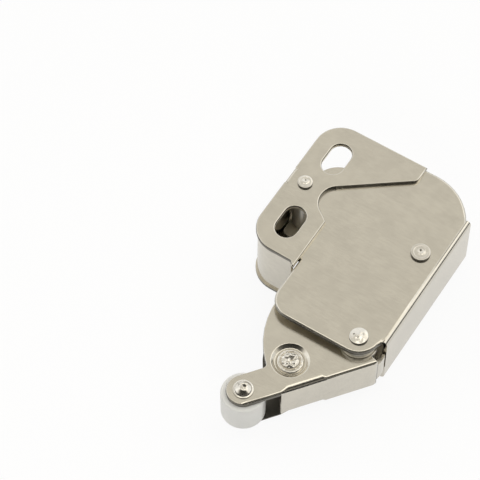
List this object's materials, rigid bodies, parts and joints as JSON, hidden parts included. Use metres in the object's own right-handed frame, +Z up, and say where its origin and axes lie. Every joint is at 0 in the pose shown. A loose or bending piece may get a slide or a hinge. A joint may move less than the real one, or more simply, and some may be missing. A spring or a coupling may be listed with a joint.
{
  "type": "mini touch latch",
  "caption": "Small push-to-open cabinet touch latch: folded nickel-plated housing with a slotted bracket and a sprung swinging lever with a roller nose.",
  "frame": {"origin": "bottom centre of the bounding box, with the latch lying on its bracket's flat mounting face", "axes": "+Y runs along the spine, away from the roller nose; +X points out of the spine side; +Z is up, through the peened rivet ends"},
  "size_m": [0.0252, 0.0456, 0.0113],
  "materials": {
    "nickel_sheet": "warm satin nickel plate on steel sheet",
    "nickel_rivet": "bright nickel plate on steel",
    "plain_steel": "plain drawn steel",
    "roller_plastic": "white acetal, soft sheen",
    "cam_plastic": "black acetal"
  },
  "bodies": {
    "housing": {"housing_cover": "nickel_sheet", "mounting_bracket": "nickel_sheet", "upper_rivet": "nickel_rivet", "pivot_rivet": "nickel_rivet", "bracket_rivet": "nickel_rivet", "upper_sleeve": "plain_steel", "pivot_sleeve": "plain_steel", "bracket_sleeve": "plain_steel", "pivot_washer_upper": "plain_steel", "pivot_washer_lower": "plain_steel", "cam_block": "cam_plastic", "torsion_spring": "plain_steel"},
    "lever": {"lever": "nickel_sheet", "link_rivet": "nickel_rivet", "roller_axle": "nickel_rivet", "link_spacer_upper": "plain_steel", "link_spacer_lower": "plain_steel"},
    "link": {"link": "plain_steel", "follower_pin": "nickel_rivet"},
    "roller": {"roller": "roller_plastic"}
  },
  "joints": [
    {"name": "lever_swing", "type": "hinge", "parent": "housing", "child": "lever", "pos_m": [0.00876, -0.00537, 0.00542], "axis": [0, 0, 1], "range_deg": [-28, 0], "stiffness_Nm_per_rad": 0.02, "springref_deg": 34.38, "deforming": ["torsion_spring"]},
    {"name": "link_swing", "type": "hinge", "parent": "lever", "child": "link", "pos_m": [0.00246, -0.01257, 0.00542], "axis": [0, 0, 1], "range_deg": [0, 25.8]},
    {"name": "roller_spin", "type": "hinge", "parent": "lever", "child": "roller", "pos_m": [-0.00048, -0.01972, 0.00542], "axis": [0, 0, 1], "continuous": true}
  ],
  "couplings": [
    {"joint": "link_swing", "follows": "lever_swing", "ratio": -0.921}
  ]
}
